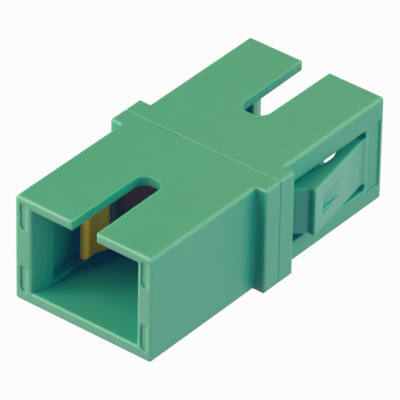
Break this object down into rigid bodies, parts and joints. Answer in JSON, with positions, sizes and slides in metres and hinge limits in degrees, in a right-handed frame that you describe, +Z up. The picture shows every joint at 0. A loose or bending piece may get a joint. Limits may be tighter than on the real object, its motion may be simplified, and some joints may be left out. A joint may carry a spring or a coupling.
{
  "type": "fibre optic adapter",
  "caption": "Green simplex push-pull fibre adapter: rectangular coupler with a plug port at each end, top key slots, mid flange, sprung panel latches and a split ceramic sleeve.",
  "frame": {"origin": "centre of the adapter: on the optical axis, in the weld plane of the two housing halves", "axes": "+Y along the plug axis towards the port beside the panel latches, +Z up through the key slots, +X to the right"},
  "size_m": [0.0162, 0.0284, 0.0094],
  "materials": {
    "housing_green": "satin moulded PBT",
    "carrier_amber": "translucent amber PEI",
    "sleeve_ceramic": "polished white ceramic"
  },
  "bodies": {
    "housing": {"front_housing": "housing_green", "rear_housing": "housing_green", "front_latch_carrier": "carrier_amber", "rear_latch_carrier": "carrier_amber", "alignment_sleeve": "sleeve_ceramic"},
    "panel_latch_right": {"panel_latch_right": "housing_green"},
    "panel_latch_left": {"panel_latch_left": "housing_green"},
    "front_right_hook": {"front_right_hook": "carrier_amber"},
    "front_left_hook": {"front_left_hook": "carrier_amber"},
    "rear_right_hook": {"rear_right_hook": "carrier_amber"},
    "rear_left_hook": {"rear_left_hook": "carrier_amber"}
  },
  "joints": [
    {"name": "panel_latch_right_flex", "type": "hinge", "parent": "housing", "child": "panel_latch_right", "pos_m": [0.00568, 0.0116, -0.0001], "axis": [0, 0, -1], "range_deg": [0, 10], "stiffness_Nm_per_rad": 0.2},
    {"name": "panel_latch_left_flex", "type": "hinge", "parent": "housing", "child": "panel_latch_left", "pos_m": [-0.00568, 0.0116, -0.0001], "axis": [0, 0, 1], "range_deg": [0, 10], "stiffness_Nm_per_rad": 0.2},
    {"name": "front_right_hook_flex", "type": "hinge", "parent": "housing", "child": "front_right_hook", "pos_m": [0.0043, -0.0013, 0], "axis": [0, 0, 1], "range_deg": [0, 4], "stiffness_Nm_per_rad": 0.3},
    {"name": "front_left_hook_flex", "type": "hinge", "parent": "housing", "child": "front_left_hook", "pos_m": [-0.0043, -0.0013, 0], "axis": [0, 0, -1], "range_deg": [0, 4], "stiffness_Nm_per_rad": 0.3},
    {"name": "rear_right_hook_flex", "type": "hinge", "parent": "housing", "child": "rear_right_hook", "pos_m": [0.0043, 0.0013, 0], "axis": [0, 0, -1], "range_deg": [0, 4], "stiffness_Nm_per_rad": 0.3},
    {"name": "rear_left_hook_flex", "type": "hinge", "parent": "housing", "child": "rear_left_hook", "pos_m": [-0.0043, 0.0013, 0], "axis": [0, 0, 1], "range_deg": [0, 4], "stiffness_Nm_per_rad": 0.3}
  ]
}
